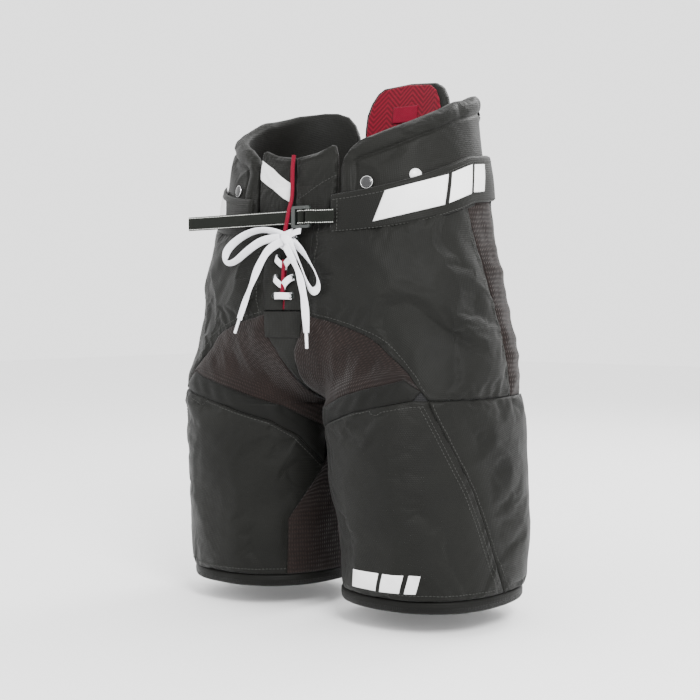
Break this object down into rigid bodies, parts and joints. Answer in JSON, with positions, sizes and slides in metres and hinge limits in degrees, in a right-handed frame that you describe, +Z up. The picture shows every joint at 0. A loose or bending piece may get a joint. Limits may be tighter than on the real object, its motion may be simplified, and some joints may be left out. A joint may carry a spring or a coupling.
{
  "type": "ice hockey pants",
  "caption": "Padded knee-length protective pants with a laced fly, a webbing belt with a buckle, and raised hip, belly and spine pads.",
  "frame": {"origin": "centre of the waist opening, on the pants' plane of symmetry, 450 mm above the leg hems", "axes": "+Z up, towards the waist; -Y is the front; +X is the wearer's left"},
  "size_m": [0.4212, 0.2689, 0.604],
  "materials": {
    "shell": "woven nylon, soft sheen",
    "knit": "brown-black stretch knit",
    "lining": "brushed liner with darker chevrons",
    "foam": "foam",
    "plate": "moulded polyethylene",
    "print": "white heat-transfer print",
    "piping": "satin corded piping",
    "webbing": "woven webbing with white edge stitching",
    "hard_plastic": "moulded",
    "eyelet": "black enamel",
    "lace": "woven polyester lace"
  },
  "bodies": {
    "girdle": {"back_label": "piping", "belt_badges": "print", "crotch_gusset": "shell", "eyelets": "eyelet", "fly_tongue": "lining", "front_label": "print", "girdle_liner": "lining", "lace_knot": "lace", "lace_left_loop": "lace", "lace_left_tail": "lace", "lace_right_loop": "lace", "lace_right_tail": "lace", "lace_rungs": "lace", "lace_tips": "hard_plastic", "left_fly_panel": "shell", "left_front_pad": "shell", "left_groin_stretch": "knit", "left_hip_cap": "plate", "left_hip_foam": "foam", "left_hip_pad": "shell", "left_hip_shell": "shell", "left_seat_shell": "shell", "left_side_stretch": "knit", "red_piping": "piping", "right_fly_panel": "shell", "right_front_pad": "shell", "right_groin_stretch": "knit", "right_hip_cap": "plate", "right_hip_foam": "foam", "right_hip_pad": "shell", "right_hip_shell": "shell", "right_seat_shell": "shell", "right_side_stretch": "knit", "spine_cover": "shell", "spine_foam": "foam", "spine_lining": "lining", "spine_plate": "plate", "strap_webbing": "webbing", "suspender_buttons": "hard_plastic", "tailbone_pad": "foam", "waist_belt": "shell"},
    "left_leg": {"left_leg_liner": "lining", "left_thigh_foam": "foam", "left_thigh_plate": "plate", "left_thigh_shell": "shell", "left_outer_thigh_shell": "shell", "left_inner_thigh_shell": "knit", "left_thigh_yoke": "shell", "left_hem_binding": "shell", "leg_badge": "print"},
    "right_leg": {"right_leg_liner": "lining", "right_thigh_foam": "foam", "right_thigh_plate": "plate", "right_thigh_shell": "shell", "right_outer_thigh_shell": "shell", "right_inner_thigh_shell": "knit", "right_thigh_yoke": "shell", "right_hem_binding": "shell"},
    "buckle": {"buckle": "hard_plastic"},
    "strap": {"belt_strap": "webbing"}
  },
  "joints": [
    {"name": "left_hip", "type": "hinge", "parent": "girdle", "child": "left_leg", "pos_m": [0.105, 0, -0.15], "axis": [1, 0, 0], "range_deg": [-30, 12], "deforming": ["left_hip_shell", "left_groin_stretch", "left_side_stretch", "left_seat_shell", "crotch_gusset", "left_thigh_yoke"]},
    {"name": "right_hip", "type": "hinge", "parent": "girdle", "child": "right_leg", "pos_m": [-0.105, 0, -0.15], "axis": [1, 0, 0], "range_deg": [-30, 12], "deforming": ["right_hip_shell", "right_groin_stretch", "right_side_stretch", "right_seat_shell", "right_thigh_yoke"]},
    {"name": "buckle_tilt", "type": "hinge", "parent": "girdle", "child": "buckle", "pos_m": [0.037, -0.1255, -0.026], "axis": [0, 0, 1], "range_deg": [0, 40]},
    {"name": "strap_slide", "type": "slide", "parent": "girdle", "child": "strap", "axis": [-1, 0, 0], "range_m": [0, 0.015]}
  ]
}
